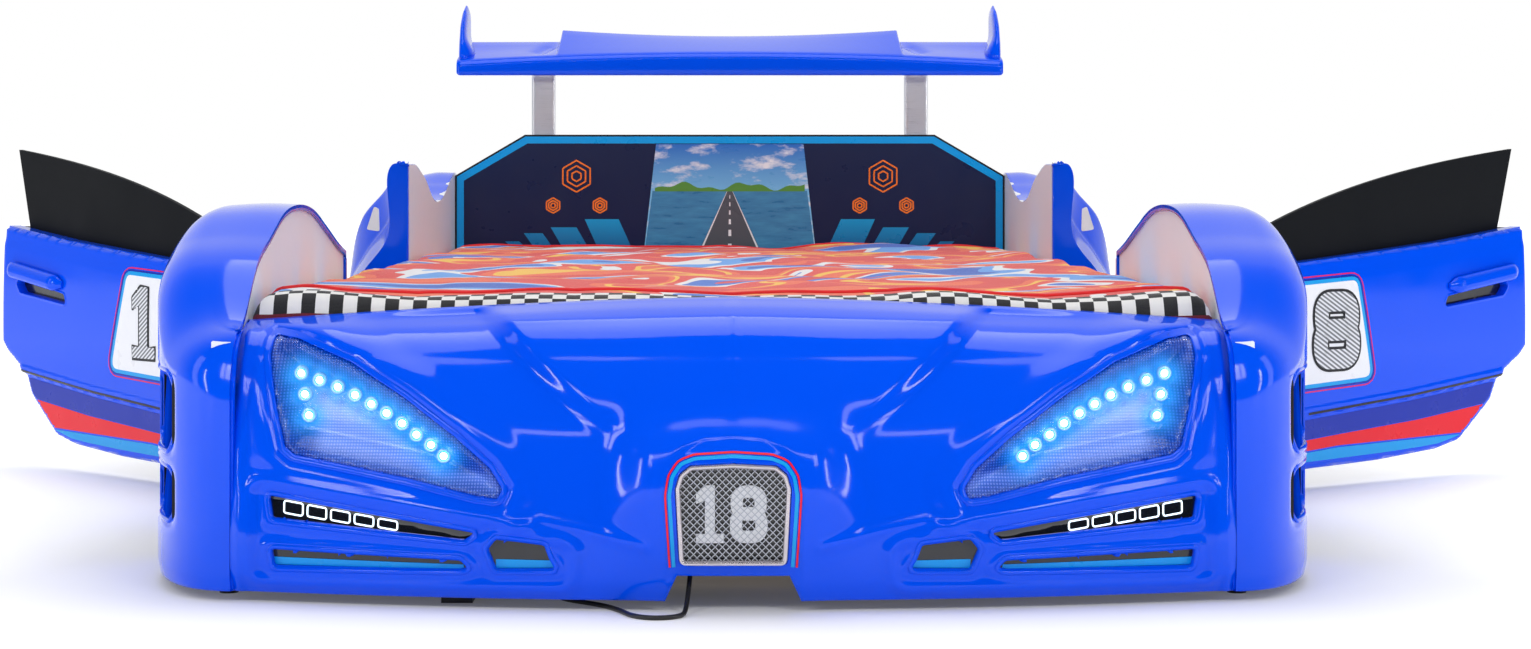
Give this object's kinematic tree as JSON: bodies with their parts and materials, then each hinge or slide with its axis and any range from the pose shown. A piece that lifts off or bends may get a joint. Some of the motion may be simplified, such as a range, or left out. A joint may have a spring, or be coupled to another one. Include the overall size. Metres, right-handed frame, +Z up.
{
  "type": "car bed for children",
  "caption": "Child's bed shaped as a racing car, with opening doors, moulded shells, lamps, rear wing and a quilted mattress.",
  "frame": {"origin": "on the floor under the middle leg of the centre beam", "axes": "+Z up, +Y from the nose to the wing, +X to the viewer's right when the nose is seen from the front"},
  "size_m": [2.0821, 2.2543, 0.7],
  "materials": {
    "board_white": "satin white melamine",
    "print_board": "printed melamine",
    "raw_wood": "sanded",
    "glide_black": "matte",
    "shell_blue": "high gloss, deep blue",
    "trim_black": "matte",
    "door_liner": "satin white melamine",
    "window_black": "gloss",
    "brushed_steel": "brushed",
    "fastener_steel": "zinc plated",
    "lamp_bowl": "vacuum formed, pale blue",
    "lamp_lens": "clear moulded plastic",
    "led_white": "white emitter",
    "tail_red": "clear red",
    "grille_silver": "bright plated plastic",
    "tyre_black": "matte",
    "rim_silver": "silver lacquer",
    "mattress_cloth": "woven ticking",
    "quilt_cloth": "printed satin weave",
    "box_black": "matte",
    "cord_black": "matte"
  },
  "bodies": {
    "bed": {"bed_slats": "raw_wood", "catch_magnets": "fastener_steel", "centre_beam": "raw_wood", "cord_coil": "cord_black", "cord_gland": "cord_black", "drl_panel_left": "trim_black", "drl_panel_right": "trim_black", "fender_vents": "trim_black", "floor_glides": "glide_black", "footboard": "raw_wood", "front_bumper": "shell_blue", "front_fender_left": "shell_blue", "front_fender_right": "shell_blue", "grille_frame": "grille_silver", "grille_mesh": "grille_silver", "headboard": "print_board", "headlight_bowl_left": "lamp_bowl", "headlight_bowl_right": "lamp_bowl", "headlight_leds": "led_white", "headlight_lens_left": "lamp_lens", "headlight_lens_right": "lamp_lens", "hinge_bracket_left": "brushed_steel", "hinge_bracket_right": "brushed_steel", "hinge_pins": "fastener_steel", "led_control_box": "box_black", "mattress": "mattress_cloth", "power_cord": "cord_black", "power_plug": "box_black", "quilt": "quilt_cloth", "rear_bumper": "shell_blue", "rear_quarter_left": "shell_blue", "rear_quarter_right": "shell_blue", "rim_front_left": "rim_silver", "rim_front_right": "rim_silver", "rim_rear_left": "rim_silver", "rim_rear_right": "rim_silver", "shell_screws": "fastener_steel", "side_board_left": "board_white", "side_board_right": "board_white", "slat_ledgers": "raw_wood", "slot_trims": "trim_black", "spoiler_bolts": "fastener_steel", "spoiler_post_left": "brushed_steel", "spoiler_post_right": "brushed_steel", "spoiler_wing": "shell_blue", "tail_lights": "tail_red", "tyre_front_left": "tyre_black", "tyre_front_right": "tyre_black", "tyre_rear_left": "tyre_black", "tyre_rear_right": "tyre_black"},
    "door_left": {"door_skin_left": "shell_blue", "door_liner_left": "door_liner", "door_window_left": "window_black", "door_grip_left": "shell_blue", "hinge_leaf_left": "brushed_steel"},
    "door_right": {"door_skin_right": "shell_blue", "door_liner_right": "door_liner", "door_window_right": "window_black", "door_grip_right": "shell_blue", "hinge_leaf_right": "brushed_steel"}
  },
  "joints": [
    {"name": "door_left_swing", "type": "hinge", "parent": "bed", "child": "door_left", "pos_m": [-0.564, -0.29, 0.1], "axis": [0, 0, 1], "range_deg": [-45.4, 24.6]},
    {"name": "door_right_swing", "type": "hinge", "parent": "bed", "child": "door_right", "pos_m": [0.564, -0.29, 0.1], "axis": [0, 0, -1], "range_deg": [-55.5, 14.5]}
  ]
}
